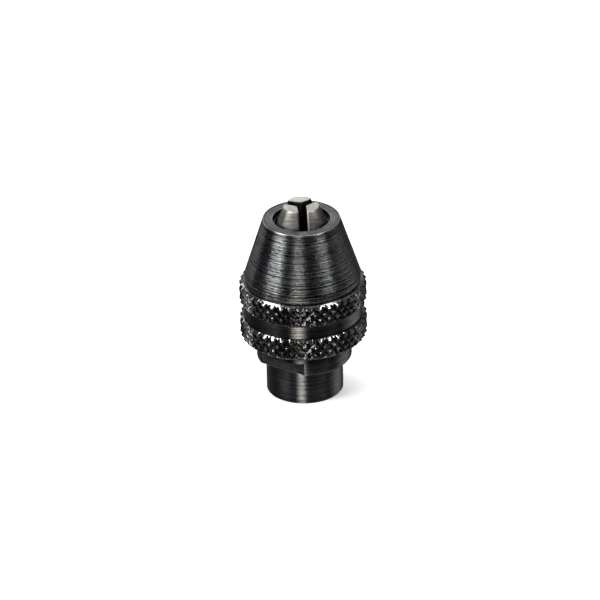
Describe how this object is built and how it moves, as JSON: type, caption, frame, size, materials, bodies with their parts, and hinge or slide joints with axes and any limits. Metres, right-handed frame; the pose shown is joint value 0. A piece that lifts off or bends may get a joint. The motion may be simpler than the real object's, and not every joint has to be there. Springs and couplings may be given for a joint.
{
  "type": "drill chuck",
  "caption": "Small keyless chuck for a rotary tool: knurled sleeve and conical nose that turn on a threaded spindle body and set the self-centring jaws.",
  "frame": {"origin": "centre of the tube's rear face", "axes": "+Z along the axis of rotation, from the spindle thread to the jaws; one jaw lies towards +Y"},
  "size_m": [0.0174, 0.0174, 0.0279],
  "materials": {
    "body_black": "turned, black oxide",
    "sleeve_black": "diamond knurled, black oxide",
    "nose_black": "finely turned, black oxide",
    "jaw_steel": "ground",
    "carrier_steel": "turned",
    "spring_steel": "bright",
    "bronze": "turned",
    "seal_rubber": "matte"
  },
  "bodies": {
    "spindle": {"spindle_body": "body_black", "rear_thrust_washer": "bronze", "drag_o_ring": "seal_rubber", "front_washer": "spring_steel", "disc_spring": "spring_steel", "retaining_ring": "spring_steel"},
    "sleeve": {"knurled_sleeve": "sleeve_black", "nose_cone": "nose_black"},
    "carrier": {"jaw_carrier": "carrier_steel"},
    "jaw_1": {"jaw_1": "jaw_steel"},
    "jaw_2": {"jaw_2": "jaw_steel"},
    "jaw_3": {"jaw_3": "jaw_steel"},
    "spring_1": {"jaw_spring_1": "spring_steel"},
    "spring_2": {"jaw_spring_2": "spring_steel"},
    "spring_3": {"jaw_spring_3": "spring_steel"}
  },
  "joints": [
    {"name": "sleeve_spin", "type": "hinge", "parent": "spindle", "child": "sleeve", "pos_m": [0, 0, 0.0126], "axis": [0, 0, 1], "range_deg": [-593, 840]},
    {"name": "carrier_slide", "type": "slide", "parent": "spindle", "child": "carrier", "axis": [0, 0, 1], "range_m": [-0.00233, 0.00165]},
    {"name": "jaw_1_slide", "type": "slide", "parent": "carrier", "child": "jaw_1", "axis": [0, 1, 0], "range_m": [-0.0006, 0.00085]},
    {"name": "jaw_2_slide", "type": "slide", "parent": "carrier", "child": "jaw_2", "axis": [-0.866, -0.5, 0], "range_m": [-0.0006, 0.00085]},
    {"name": "jaw_3_slide", "type": "slide", "parent": "carrier", "child": "jaw_3", "axis": [0.866, -0.5, 0], "range_m": [-0.0006, 0.00085]},
    {"name": "spring_1_slide", "type": "slide", "parent": "carrier", "child": "spring_1", "axis": [-0.866, 0.5, 0], "range_m": [-0.0003, 0.000425], "deforming": ["jaw_spring_1"]},
    {"name": "spring_2_slide", "type": "slide", "parent": "carrier", "child": "spring_2", "axis": [0, -1, 0], "range_m": [-0.0003, 0.000425], "deforming": ["jaw_spring_2"]},
    {"name": "spring_3_slide", "type": "slide", "parent": "carrier", "child": "spring_3", "axis": [0.866, 0.5, 0], "range_m": [-0.0003, 0.000425], "deforming": ["jaw_spring_3"]}
  ],
  "couplings": [
    {"joint": "sleeve_spin", "follows": "carrier_slide", "rad_per_m": -6283.2},
    {"joint": "jaw_1_slide", "follows": "carrier_slide", "ratio": -0.36397},
    {"joint": "jaw_2_slide", "follows": "carrier_slide", "ratio": -0.36397},
    {"joint": "jaw_3_slide", "follows": "carrier_slide", "ratio": -0.36397},
    {"joint": "spring_1_slide", "follows": "carrier_slide", "ratio": -0.18199},
    {"joint": "spring_2_slide", "follows": "carrier_slide", "ratio": -0.18199},
    {"joint": "spring_3_slide", "follows": "carrier_slide", "ratio": -0.18199}
  ]
}
